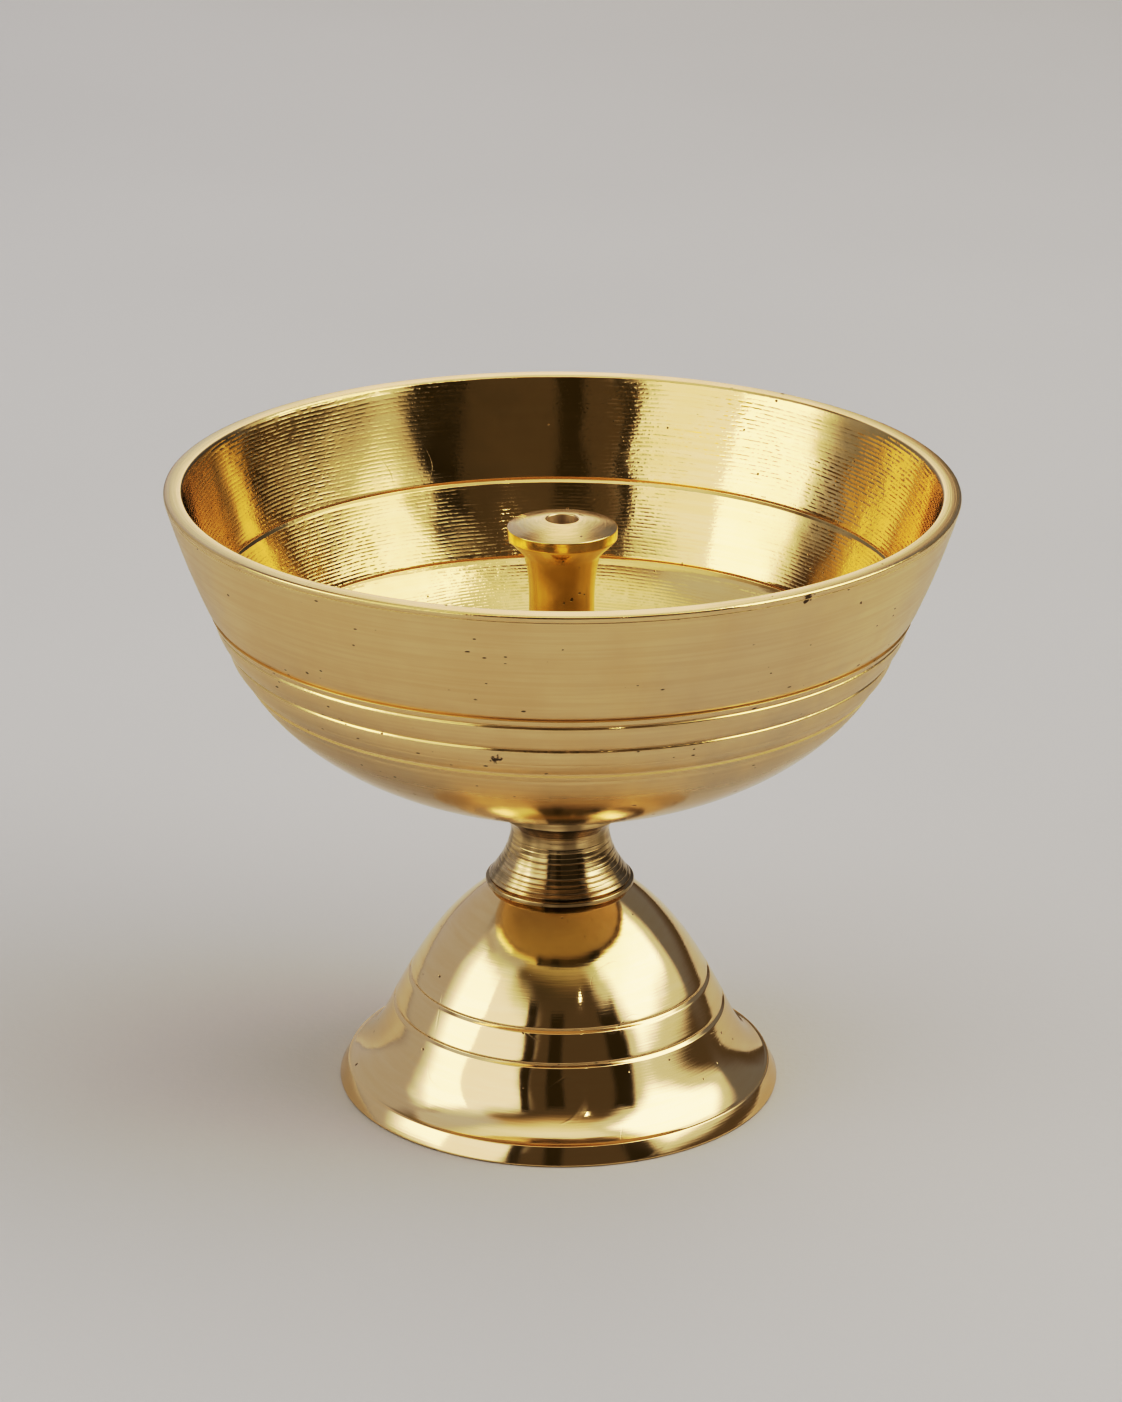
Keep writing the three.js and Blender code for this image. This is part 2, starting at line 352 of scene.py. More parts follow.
def makeFeedRidges():
    # even ridges left by the tool's feed; Lean is 1 where the wall widens upwards
    # and -1 where it narrows
    driftTurns = 3.0  # how many ridges their slow drift spans
    inputs = [("Place", direction, (0, 0, 0)), ("Lean", number, 1.0), ("Pitch", number, 0.75)]
    tree, given, wanted = newGroup("feedRidges", inputs, "Ridges")
    heading, radius, upright = turnedPlace(tree, given["Place"])
    rate = perMetre(tree, given["Pitch"])
    height = vectorCalc(tree, "DOT_PRODUCT", given["Place"], (0, 0, 1))
    leaning = calc(tree, "MULTIPLY_ADD", radius, given["Lean"], height)
    travel = calc(tree, "MULTIPLY", leaning, rate)
    slow = roundAndUp(tree, heading, upright, around=1.6, along=0.07 / mm)
    drift = noise(tree, slow, scale=1.0, detail=2.0, roughness=0.5)
    turns = calc(tree, "MULTIPLY_ADD", drift, driftTurns, travel)
    hollow = calc(tree, "ABSOLUTE", calc(tree, "SINE", calc(tree, "MULTIPLY", turns, math.pi)))
    crest = calc(tree, "SUBTRACT", 1.0, hollow)
    quick = roundAndUp(tree, heading, upright, around=42.0, along=rate)
    chatter = noise(tree, quick, scale=1.0, detail=2.0, roughness=0.6)
    chatter = remap(tree, chatter, low=0.34, high=0.62, toLow=0.15, toHigh=1.0)
    patch = noise(tree, given["Place"], scale=0.05 / mm, detail=2.0, roughness=0.5)
    patch = remap(tree, patch, low=0.36, high=0.6, toLow=0.3, toHigh=1.0)
    ridges = calc(tree, "MULTIPLY", crest, calc(tree, "MULTIPLY", chatter, patch))
    connect(tree, ridges, wanted)
    return tree


def makeCastPits():
    # small dark casting holes in loose clusters, drawn out round the lamp by Draw;
    # Size is the widest hole in mm and Share how many places have one
    raggedRate, raggedShare = 2.6, 1.3  # how fine and how deep their outlines are broken up
    leastWidth = 0.3  # of the smallest hole, as a share of the widest
    floorShare = 0.45  # how much of a hole is its full depth
    inputs = [("Place", direction, (0, 0, 0)), ("Spacing", number, 1.5), ("Size", number, 0.3),
              ("Share", number, 0.3), ("Draw", number, 1.0)]
    tree, given, wanted = newGroup("castPits", inputs, "Pits")
    rate = perMetre(tree, given["Spacing"])
    squeeze = tree.nodes.new("ShaderNodeCombineXYZ")
    for socket, value in zip(squeeze.inputs, (given["Draw"], given["Draw"], 1.0)):
        connect(tree, value, socket)
    drawn = vectorCalc(tree, "MULTIPLY", given["Place"], squeeze.outputs[0])
    ragged = calc(tree, "MULTIPLY", given["Size"], raggedShare * mm)
    moved = randomPush(tree, drawn, calc(tree, "MULTIPLY", rate, raggedRate), ragged)
    cells = tree.nodes.new("ShaderNodeTexVoronoi")
    connect(tree, moved, cells.inputs["Vector"])
    connect(tree, rate, cells.inputs["Scale"])
    luck = tree.nodes.new("ShaderNodeSeparateColor")
    connect(tree, cells.outputs["Color"], luck.inputs[0])
    crowd = noise(tree, given["Place"], scale=0.09 / mm, detail=2.0, roughness=0.5)
    crowd = remap(tree, crowd, low=0.4, high=0.62, toLow=0.25, toHigh=1.6)
    chosen = calc(tree, "LESS_THAN", luck.outputs[0], calc(tree, "MULTIPLY", given["Share"], crowd))
    widest = calc(tree, "DIVIDE", given["Size"], given["Spacing"])
    spread = calc(tree, "MULTIPLY_ADD", luck.outputs[1], 1 - leastWidth, leastWidth)
    width = calc(tree, "MULTIPLY", widest, spread)
    inner = calc(tree, "MULTIPLY", width, floorShare)
    hole = remap(tree, cells.outputs["Distance"], inner, width, toLow=1.0, toHigh=0.0)
    connect(tree, calc(tree, "MULTIPLY", hole, chosen), wanted)
    return tree


def makeHandScratches():
    # long curved scratches from handling; Reach is about their length in mm
    # and Share how much of them shows
    slices = (3.1, 7.7)  # the two places in the noise that the scratches come from
    fadeShift, fadeSpan = 2.0, 0.1
    inputs = [("Place", direction, (0, 0, 0)), ("Reach", number, 16.0), ("Width", number, 0.07),
              ("Share", number, 0.4)]
    tree, given, wanted = newGroup("handScratches", inputs, "Scratches")
    rate = perMetre(tree, given["Reach"])
    width = calc(tree, "DIVIDE", given["Width"], given["Reach"])
    edge = calc(tree, "SUBTRACT", 1.0, given["Share"])
    lines = None
    for shift in slices:
        level = noise(tree, given["Place"], rate, detail=1.0, roughness=0.4, w=shift)
        apart = calc(tree, "ABSOLUTE", calc(tree, "SUBTRACT", level, 0.5))
        line = remap(tree, apart, 0.0, width, toLow=1.0, toHigh=0.0)
        fade = noise(tree, given["Place"], rate, detail=2.0, roughness=0.5, w=shift + fadeShift)
        shown = remap(tree, fade, edge, calc(tree, "ADD", edge, fadeSpan))
        line = calc(tree, "MULTIPLY", line, shown)
        lines = calc(tree, "MAXIMUM", lines, line) if lines else line
    connect(tree, lines, wanted)
    return tree


def makePaintedReflectionStripes():
    # painted reflections: light and dark stripes that change round a turned stem and run along it, where
    # the polished stem mirrors its surroundings; Around is about their number
    inputs = [("Place", direction, (0, 0, 0)), ("Around", number, 4.0)]
    tree, given, wanted = newGroup("paintedReflectionStripes", inputs, "Streaks")
    heading, _, upright = turnedPlace(tree, given["Place"])
    where = roundAndUp(tree, heading, upright, given["Around"], along=0.03 / mm)
    streaks = noise(tree, where, scale=1.0, detail=1.0, roughness=0.5)
    connect(tree, remap(tree, streaks, low=0.36, high=0.64), wanted)
    return tree


def makePaintedShade():
    # painted shade and reflection: a soft cloudy darker patch at a given place, in metres; Size is its
    # radius in mm
    cloudShare = 0.8  # how far its outline wanders, as a share of its size
    fullShare, goneShare = 0.6, 1.4
    inputs = [("Place", direction, (0, 0, 0)), ("Centre", direction, (0, 0, 0)), ("Size", number, 20.0)]
    tree, given, wanted = newGroup("paintedShade", inputs, "PaintedShade")
    apart = millimetresApart(tree, given["Place"], given["Centre"])
    cloud = noise(tree, given["Place"], scale=0.12 / mm, detail=3.0, roughness=0.6)
    cloud = calc(tree, "MULTIPLY", cloud, given["Size"])
    reach = calc(tree, "MULTIPLY_ADD", cloud, cloudShare, apart)
    inner = calc(tree, "MULTIPLY", given["Size"], fullShare)
    outer = calc(tree, "MULTIPLY", given["Size"], goneShare)
    connect(tree, remap(tree, reach, inner, outer, toLow=1.0, toHigh=0.0), wanted)
    return tree


def makeFlaw():
    # one ragged casting flaw at a given place, in metres; Size is its radius in mm
    raggedRate, raggedShare = 2.2, 2.4
    fullShare = 0.6
    inputs = [("Place", direction, (0, 0, 0)), ("Centre", direction, (0, 0, 0)), ("Size", number, 0.5)]
    tree, given, wanted = newGroup("castFlaw", inputs, "Flaw")
    ragged = calc(tree, "MULTIPLY", given["Size"], raggedShare * mm)
    moved = randomPush(tree, given["Place"], raggedRate / mm, ragged)
    apart = millimetresApart(tree, moved, given["Centre"])
    inner = calc(tree, "MULTIPLY", given["Size"], fullShare)
    connect(tree, remap(tree, apart, inner, given["Size"], toLow=1.0, toHigh=0.0), wanted)
    return tree


turnedLines = makeTurnedLines()
feedRidges = makeFeedRidges()
castPits = makeCastPits()
handScratches = makeHandScratches()
paintedReflectionStripes = makePaintedReflectionStripes()
paintedShade = makePaintedShade()
castFlaw = makeFlaw()


def makeBrass(name, look):
    material, tree, shader = newMaterial(name)
    place = tree.nodes.new("ShaderNodeTexCoord").outputs["Object"]
    fine = placeGroup(tree, turnedLines, Place=place, Around=look["around"], Pitch=look["finePitch"],
                      Detail=2.0)
    broad = placeGroup(tree, turnedLines, Place=place, Around=look["around"] * look["broadAround"],
                       Pitch=look["broadPitch"], Detail=3.0, Shift=7.0)
    ridges = placeGroup(tree, feedRidges, Place=place, Lean=look["lean"], Pitch=look["ridgePitch"])
    clouds = noise(tree, place, look["cloudScale"] / mm, detail=3.0, roughness=0.6)
    wobble = noise(tree, place, look["wobbleScale"] / mm, detail=1.0, roughness=0.5)
    scratches = placeGroup(tree, handScratches, Place=place, Reach=look["scratchReach"],
                           Share=look["scratchShare"])
    pits = placeGroup(tree, castPits, Place=place, Spacing=look["pitSpacing"], Size=look["pitSize"],
                      Share=look["pitShare"], Draw=look["pitDraw"])
    for centre, size in look["flaws"]:
        flaw = placeGroup(tree, castFlaw, Place=place, Centre=[c * mm for c in centre], Size=size)
        pits = calc(tree, "MAXIMUM", pits, flaw)

    streaks = remap(tree, broad, low=0.35, high=0.65)
    patches = remap(tree, clouds, low=0.35, high=0.68)
    colour = look["colour"]
    tints = [(streaks, look["streakShare"], look["streakColour"]),
             (patches, look["patchShare"], look["patchColour"])]
    # painted reflections: stripes along a turned stem where it mirrors its surroundings
    if look["reflectionStripeShare"]:
        reflectionStripes = placeGroup(tree, paintedReflectionStripes, Place=place, Around=look["reflectionStripeCount"])
        tints.append((reflectionStripes, look["reflectionStripeShare"], look["reflectionStripeColour"]))
    # painted shade and reflection: soft darker patches blended into the colour
    for centre, size, share in look["paintedShades"]:
        shadePatch = placeGroup(tree, paintedShade, Place=place, Centre=[c * mm for c in centre], Size=size)
        tints.append((shadePatch, share, look["paintedShadeColour"]))
    tints.append((pits, look["pitTint"], look["pitColour"]))
    for mask, share, tint in tints:
        colour = blendColours(tree, calc(tree, "MULTIPLY", mask, share), colour, tint)
    connect(tree, colour, shader.inputs["Base Color"])

    dull = calc(tree, "MULTIPLY_ADD", streaks, look["streakRough"], look["roughness"])
    dull = calc(tree, "MULTIPLY_ADD", patches, look["patchRough"], dull)
    if look["polishedBelow"]:
        low, high = look["polishedBelow"]
        height = calc(tree, "DIVIDE", vectorCalc(tree, "DOT_PRODUCT", place, (0, 0, 1)), mm)
        dull = calc(tree, "MULTIPLY", dull, remap(tree, height, low, high, look["polishedShare"], 1.0))
    dull = calc(tree, "MULTIPLY_ADD", scratches, look["scratchRough"], dull)
    dull = calc(tree, "MULTIPLY_ADD", pits, look["pitRough"], dull, clamp=True)
    connect(tree, dull, shader.inputs["Roughness"])

    shader.inputs["Metallic"].default_value = 1.0
    shader.inputs["Anisotropic"].default_value = look["brushed"]
    shader.inputs["Anisotropic Rotation"].default_value = 0.25  # spreads light across the tool lines

    normal = None
    reliefs = ((wobble, look["wobbleDepth"]), (broad, look["broadDepth"]), (ridges, look["ridgeDepth"]),
               (fine, look["fineDepth"]), (scratches, -look["scratchDepth"]), (pits, -look["pitDepth"]))
    for height, depth in reliefs:
        normal = addBump(tree, height, depth, normal)
    connect(tree, normal, shader.inputs["Normal"])
    return material


# Pitches, depths, sizes and spacings are in mm and scales are per mm. A flaw is a place
# on the lamp and a radius, and a patch of painted shade is a place, a radius and a strength.
satinLook = {
    "colour": (0.88, 0.69, 0.40, 1), "streakColour": (0.78, 0.58, 0.31, 1), "streakShare": 0.45,
    "patchColour": (0.80, 0.60, 0.33, 1), "patchShare": 0.5, "pitColour": (0.12, 0.07, 0.03, 1),
    "roughness": 0.33, "streakRough": 0.05, "patchRough": 0.05, "brushed": 0.4,
    "polishedBelow": (50, 56), "polishedShare": 0.35, "wobbleScale": 0.05, "wobbleDepth": 0.08,
    "around": 4.0, "finePitch": 0.2, "fineDepth": 0.01, "broadPitch": 0.5, "broadDepth": 0.01,
    "lean": 1.0, "ridgePitch": 0.6, "ridgeDepth": 0.002, "cloudScale": 0.09,
    "broadAround": 0.6, "scratchReach": 19, "scratchShare": 0.42, "scratchDepth": 0.01,
    "scratchRough": 0.12, "pitRough": 0.4, "pitTint": 0.9,
    "pitSpacing": 1.0, "pitSize": 0.18, "pitShare": 0.42, "pitDraw": 0.45, "pitDepth": 0.06,
    "flaws": [((-7.53, -40.95, 60.07), 0.7), ((28.77, -40.63, 80.3), 0.7),
              ((35.48, -33.59, 77.25), 0.3)],
    "reflectionStripeShare": 0,
    # painted shade and reflection: greyish patches at the left and right edges and darker ones on the
    # front wall and belly stand in for darker surroundings mirrored there
    "paintedShades": [((-50, -4, 70), 28, 0.55), ((50, -4, 70), 28, 0.55), ((24, -42, 68), 24, 0.35),
               ((28, -26, 50), 24, 0.5), ((-28, -26, 50), 22, 0.35)],
    "paintedShadeColour": (0.56, 0.47, 0.35, 1),
}
polishedLook = {
    **satinLook, "colour": (0.89, 0.68, 0.38, 1), "streakColour": (0.86, 0.62, 0.31, 1),
    "patchColour": (0.86, 0.65, 0.33, 1), "patchShare": 0.3, "flaws": [], "polishedBelow": None,
    "roughness": 0.045, "streakRough": 0.03, "patchRough": 0.03, "brushed": 0.2, "wobbleScale": 0.09,
    "around": 3.0, "finePitch": 0.24, "fineDepth": 0.003, "broadPitch": 0.9, "broadDepth": 0.006,
    "lean": -1.0, "ridgePitch": 0.5, "ridgeDepth": 0.001, "wobbleDepth": 0.25,
    "scratchReach": 9, "scratchShare": 0.42, "scratchDepth": 0.005,
    "pitSpacing": 1.8, "pitSize": 0.22, "pitShare": 0.35, "pitDraw": 0.8, "pitDepth": 0.05,
    # painted reflection: a darker gold patch on the front of the foot under the neck stands in for the
    # bowl's golden underside mirrored there
    "paintedShades": [((0, -11.5, 24.5), 12, 0.6)], "paintedShadeColour": (0.48, 0.39, 0.1, 1),
}
bandLook = {**polishedLook, "roughness": 0.08, "finePitch": 0.3, "fineDepth": 0.005, "ridgeDepth": 0.002}
insideLook = {
    **polishedLook, "colour": (0.89, 0.67, 0.33, 1), "streakColour": (0.85, 0.60, 0.25, 1),
    "patchColour": (0.83, 0.61, 0.26, 1), "patchShare": 0.5, "roughness": 0.08, "patchRough": 0.05,
    "brushed": 0.3, "finePitch": 0.2, "fineDepth": 0.004, "broadDepth": 0.008,
    "lean": 1.0, "ridgePitch": 0.68, "ridgeDepth": 0.022, "wobbleDepth": 0.3,
    "scratchShare": 0.36, "scratchDepth": 0.006, "pitSpacing": 1.6, "pitShare": 0.3, "pitSize": 0.2,
    # painted shade: dark gold patches on the inner wall at the left, back and right stand in for the
    # dark reflections seen there
    "pitDepth": 0.03, "paintedShadeColour": (0.3, 0.21, 0.07, 1),
    "paintedShades": [((-45, 6, 74), 26, 0.85), ((-30, 30, 70), 34, 0.45), ((45, 14, 72), 28, 0.7)],
}
# the wick post: its deeper gold paints in the golden light that the bowl throws back on it, and its
# stripes and the dark patches down its front are painted reflections
deepLook = {
    **polishedLook, "colour": (0.82, 0.62, 0.19, 1), "streakColour": (0.76, 0.54, 0.13, 1),
    "streakShare": 0.4, "reflectionStripeShare": 0.4, "reflectionStripeCount": 2.4, "reflectionStripeColour": (0.33, 0.21, 0.03, 1),
    "roughness": 0.08, "lean": 0.0, "pitSpacing": 1.1, "pitSize": 0.24, "pitShare": 0.3, "pitDraw": 1.0,
    "flaws": [((1.3, -4.0, 67.0), 0.22), ((0.3, -4.1, 66.6), 0.2), ((2.9, -3.2, 67.4), 0.2)],
    "paintedShades": [((0.3, -4.2, 65.5), 4.5, 0.85), ((0.3, -4.4, 70.5), 4.5, 0.85)],
    "paintedShadeColour": (0.33, 0.21, 0.03, 1),
}
faceLook = {
    **satinLook, "colour": (0.86, 0.68, 0.40, 1), "roughness": 0.17, "flaws": [], "pitShare": 0.25,
    "polishedBelow": None, "fineDepth": 0.008, "broadPitch": 0.35, "brushed": 0.5, "paintedShades": [],
}
# the neck: its stripes along it are painted reflections
darkLook = {
    **polishedLook, "colour": (0.78, 0.61, 0.34, 1), "streakColour": (0.3, 0.2, 0.09, 1),
    "streakShare": 0.6, "roughness": 0.08, "streakRough": 0.08, "broadPitch": 0.42, "broadDepth": 0.007,
    "reflectionStripeShare": 0.7, "reflectionStripeCount": 3.0, "reflectionStripeColour": (0.17, 0.11, 0.04, 1), "finePitch": 0.14,
    "flaws": [((-3.8, -5.9, 34.4), 0.45)], "paintedShades": [],
}
castLook = {
    **satinLook, "colour": (0.5, 0.37, 0.19, 1), "roughness": 0.5, "broadPitch": 1.0, "flaws": [],
    "pitSpacing": 1.2, "pitSize": 0.45, "pitShare": 0.6, "pitDraw": 1.0, "polishedBelow": None,
    "paintedShades": [],
}
steelLook = {
    **satinLook, "colour": (0.42, 0.40, 0.37, 1), "streakColour": (0.3, 0.28, 0.25, 1),
    "patchColour": (0.34, 0.27, 0.18, 1), "pitColour": (0.08, 0.05, 0.03, 1), "flaws": [],
    "polishedBelow": None, "paintedShades": [],
}

satinBrass = makeBrass("satinBrass", satinLook)
polishedBrass = makeBrass("polishedBrass", polishedLook)
bandBrass = makeBrass("bandBrass", bandLook)
insideBrass = makeBrass("insideBrass", insideLook)
deepBrass = makeBrass("deepBrass", deepLook)
faceBrass = makeBrass("facedBrass", faceLook)
darkBrass = makeBrass("darkBrass", darkLook)
castBrass = makeBrass("castBrass", castLook)
plainSteel = makeBrass("plainSteel", steelLook)
print("finishes made")

# Bowl; its heights are above its own underside. Tilts are the upward parts of a face's normal.

bowlBase = neckHigh.z + seatGap
bowl = {
    "height": bowlHigh.z - bowlBase, "radius": bowlHigh.x, "wall": 2.4, "outerLip": 0.45,
    "innerLip": 0.3, "rimEdge": 1, "faceDepth": 0.2, "faceTilt": 0.8, "outsideTilt": 0.05, "under": 1.5,
    "bellyRadius": 43, "bellyDepth": 26.9, "belt": 17.65, "beltWidth": 0.9, "wallBow": 0.75,
    "middleLine": 21.5, "upperLine": 25.05, "lineWidth": 0.5, "lineDepth": 0.3,
    "coveLine": 25.95, "coveTop": 27.7, "coveDepth": 0.35, "lowerCrown": 0.32, "upperCrown": 0.2,
    "dishWall": 1.7, "floor": 2.6, "seatRadius": 9, "padRadius": 9,
    "bellyLine": 16.5, "bandLine": 19.3, "rimLine": 40.2, "fineWidth": 0.24, "fineDepth": 0.07,
    "innerBelt": 18.1, "innerLine": 27.7, "innerWidth": 0.6, "innerDepth": 0.3,
    "bossEdge": 0.3, "studHole": 6.5, "socket": pegRadius + fitGap, "steps": 200,
}
dishRadius = bowl["bellyRadius"] - bowl["dishWall"]
dishDepth = bowl["bellyDepth"] - bowl["floor"]
padHeight = bowl["floor"] + ellipseHeight(dishRadius, dishDepth, bowl["padRadius"])


def steepWall(foot, footRadius, topRadius):
    def radiusAt(height):
        t = (height - foot) / (bowl["height"] - foot)
        return footRadius + (topRadius - footRadius) * t + bulge(bowl["wallBow"], t)
    return radiusAt


def bowlOutside():
    top, belt, halfBelt = bowl["height"], bowl["belt"], bowl["beltWidth"] / 2
    width, depth, halfLine = bowl["lineWidth"], bowl["lineDepth"], bowl["lineWidth"] / 2
    beltRadius = ellipseRadius(bowl["bellyRadius"], bowl["bellyDepth"], belt)
    start = ellipseHeight(bowl["bellyRadius"], bowl["bellyDepth"], bowl["seatRadius"])
    wall = steepWall(belt, beltRadius, bowl["radius"])
    coveSpan = bowl["coveTop"] - bowl["coveLine"]
    halfFine = bowl["fineWidth"] / 2

    def belly(height):
        return ellipseRadius(bowl["bellyRadius"], bowl["bellyDepth"], height)

    def lowerBand(height):
        t = (height - belt - halfBelt) / (bowl["middleLine"] - halfLine - belt - halfBelt)
        return wall(height) + bulge(bowl["lowerCrown"], t)

    def cove(height):
        return wall(height) - bowl["coveDepth"] * (1 - (height - bowl["coveLine"]) / coveSpan) ** 2

    def fineGroove(radiusAt, height):
        return groove(radiusAt, height, bowl["fineWidth"], bowl["fineDepth"], fineSoft, fineSoft)

    crown = bowl["upperCrown"]
    return [
        (bowl["seatRadius"], 0),
        *ellipseArc(bowl["bellyRadius"], bowl["bellyDepth"], start, bowl["bellyLine"] - halfFine, 44),
        *fineGroove(belly, bowl["bellyLine"])[1:],
        (belly(belt - halfBelt), belt - halfBelt),
        (beltRadius - depth, belt, 0.15),
        (wall(belt + halfBelt), belt + halfBelt, 0.1),
        *stretch(lowerBand, belt + halfBelt, bowl["bandLine"] - halfFine, 6),
        *fineGroove(lowerBand, bowl["bandLine"]),
        *stretch(lowerBand, bowl["bandLine"] + halfFine, bowl["middleLine"] - halfLine, 8),
        *groove(wall, bowl["middleLine"], width, depth),
        *stretch(wall, bowl["middleLine"] + halfLine, bowl["upperLine"] - halfLine, 12, crown),
        *groove(wall, bowl["upperLine"], width, depth),
        (wall(bowl["coveLine"]), bowl["coveLine"], 0.06),
        (cove(bowl["coveLine"]), bowl["coveLine"] + width / 4),
        *stretch(cove, bowl["coveLine"] + width / 4, bowl["coveTop"], 8),
        *stretch(wall, bowl["coveTop"], bowl["rimLine"] - halfFine, 26),
        *fineGroove(wall, bowl["rimLine"]),
        (bowl["radius"], top, bowl["outerLip"]),
    ]


def bowlInside():
    top, belt, halfLine = bowl["height"], bowl["innerBelt"], bowl["innerWidth"] / 2
    beltRadius = ellipseRadius(dishRadius, dishDepth, belt - bowl["floor"])
    start = ellipseHeight(dishRadius, dishDepth, bowl["padRadius"])
    wall = steepWall(belt, beltRadius, bowl["radius"] - bowl["wall"])
    line = bowl["innerLine"]
    dish = ellipseArc(dishRadius, dishDepth, start, belt - bowl["floor"] - halfLine, 40)
    upwards = [
        *lifted(dish, bowl["floor"]),
        (beltRadius + bowl["innerDepth"], belt, 0.12),
        (wall(belt + halfLine), belt + halfLine, 0.1),
        *stretch(wall, belt + halfLine, line - halfLine, 16),
        *groove(wall, line, bowl["innerWidth"], -bowl["innerDepth"], 0.1, 0.12),
        *stretch(wall, line + halfLine, top - bowl["rimEdge"], 24),
        (bowl["radius"] - bowl["wall"], top, bowl["innerLip"]),
    ]
    return upwards[::-1]


def makeBowl():
    holeEnd = bowl["studHole"] - (bowlBase - bowlLow.z)
    bossFoot = bowlLow.z - bowlBase
    socketFloor = postLow.z - bowlBase - seatGap
    outline = [
        (0, holeEnd), (studBore, holeEnd), (studBore, bossFoot),
        (bossRadius, bossFoot, bowl["bossEdge"]), (bossRadius, 0),
        *bowlOutside(),
        *bowlInside(),
        (bowl["socket"], padHeight, 0.1), (bowl["socket"], socketFloor), (0, socketFloor),
    ]

    def finishAt(radius, height, facing):
        rise = height - bowlBase
        if rise > bowl["height"] - bowl["faceDepth"] and facing.z > bowl["faceTilt"]:
            return faceBrass
        outward = facing.xy.length > 0 and facing.z < bowl["outsideTilt"]
        return satinBrass if outward or rise < bowl["under"] else insideBrass

    bm = turnOutline(lifted(outline, bowlBase), bowl["steps"])
    finishes = [satinBrass, faceBrass, insideBrass]
    addPiece(bm, "bowl_turned", "bowl", "lamp", finishes, finishAt)


makeBowl()
print("bowl made")

# Wick post; its heights are above the underside of its flange

postBase = bowlBase + padHeight + seatGap
post = {
    "height": postHigh.z - postBase, "discRadius": postHigh.x, "disc": 1.4, "discLip": 0.14,
    "discRise": 1.05, "coneHeight": 2.1, "coneFoot": 4.9, "stem": 4.15, "flareHeight": 6.5,
    "flareLean": -16, "bore": 2.0, "boreLip": 0.25, "boreFloor": 1.8, "boreSlack": 0.1, "boreFoot": 1,
    "flange": 5.8, "flangeHeight": 1.2, "flangeEdge": 0.3, "flangeLand": 0.5, "blend": 2.4,
    "blendLean": 62, "faceDepth": 0.1, "faceTilt": 0.5, "steps": 128,
}


def makePost():
    top = post["height"]
    discFoot = top - post["disc"]
    coneFoot = discFoot - post["coneHeight"]
    stemTop = coneFoot - post["flareHeight"]
    stemFoot = post["flangeHeight"] + post["blend"]
    pegEnd = postLow.z - postBase
    landEnd = (post["flange"] - post["flangeLand"], post["flangeHeight"])
    outline = [
        (0, pegEnd), (pegRadius, pegEnd, 0.3), (pegRadius, 0), (post["flange"], 0, 0.1),
        (post["flange"], post["flangeHeight"] - post["flangeEdge"]),
        (post["flange"], post["flangeHeight"], 0.2),
        *sweep(landEnd, post["blendLean"], (post["stem"], stemFoot), 0, 12),
        *stretch(lambda height: post["stem"], stemFoot, stemTop, 8),
        *sweep((post["stem"], stemTop), 0, (post["coneFoot"], coneFoot), post["flareLean"], 16),
        (post["discRadius"], discFoot, 0.18),
        (post["discRadius"], top, post["discLip"]),
        (post["bore"], top + post["discRise"], post["boreLip"]),
        (post["bore"], post["boreFloor"]), (0, post["boreFloor"]),
    ]
    bm = turnOutline(lifted(outline, postBase), post["steps"])

    def finishAt(radius, height, facing):
        rise = height - postBase
        if rise > top - post["faceDepth"] and facing.z > post["faceTilt"]:
            return faceBrass
        inBore = radius < post["bore"] + post["boreSlack"] and rise > post["boreFoot"]
        return castBrass if inBore else deepBrass

    finishes = [deepBrass, faceBrass, castBrass]
    addPiece(bm, "post_turned", "wick_post", "post", finishes, finishAt)


makePost()
print("post made")

# Neck; its heights are above its own underside

neck = {
    "height": neckHigh.z - neckLow.z, "lip": neckHigh.x, "lipHeight": 0.7, "lipSoft": 0.2,
    "quirkDepth": 0.25, "quirkHeight": 0.15, "skirt": 9.2, "skirtFoot": 1.0, "skirtLean": 38,
    "waist": 6.36, "waistHeight": 7.1, "waistLean": 8, "collar": 8.6, "collarHeight": 2.3,
    "collarLean": -64,
    "ringHeights": (1.5, 2.05, 2.5, 3.1, 3.75, 4.2, 4.9, 5.5, 6.15, 6.7, 7.5, 8.3, 9.2),
    "ringDepths": (0.08, 0.02, 0.05, 0.08, 0.02, 0.03, 0.06, 0.02, 0.04, 0.02, 0.03, 0.02, 0.02),
    "ringWidth": 0.16, "bossBore": bossRadius + fitGap, "bossFloor": 3.0, "steps": 160,
}


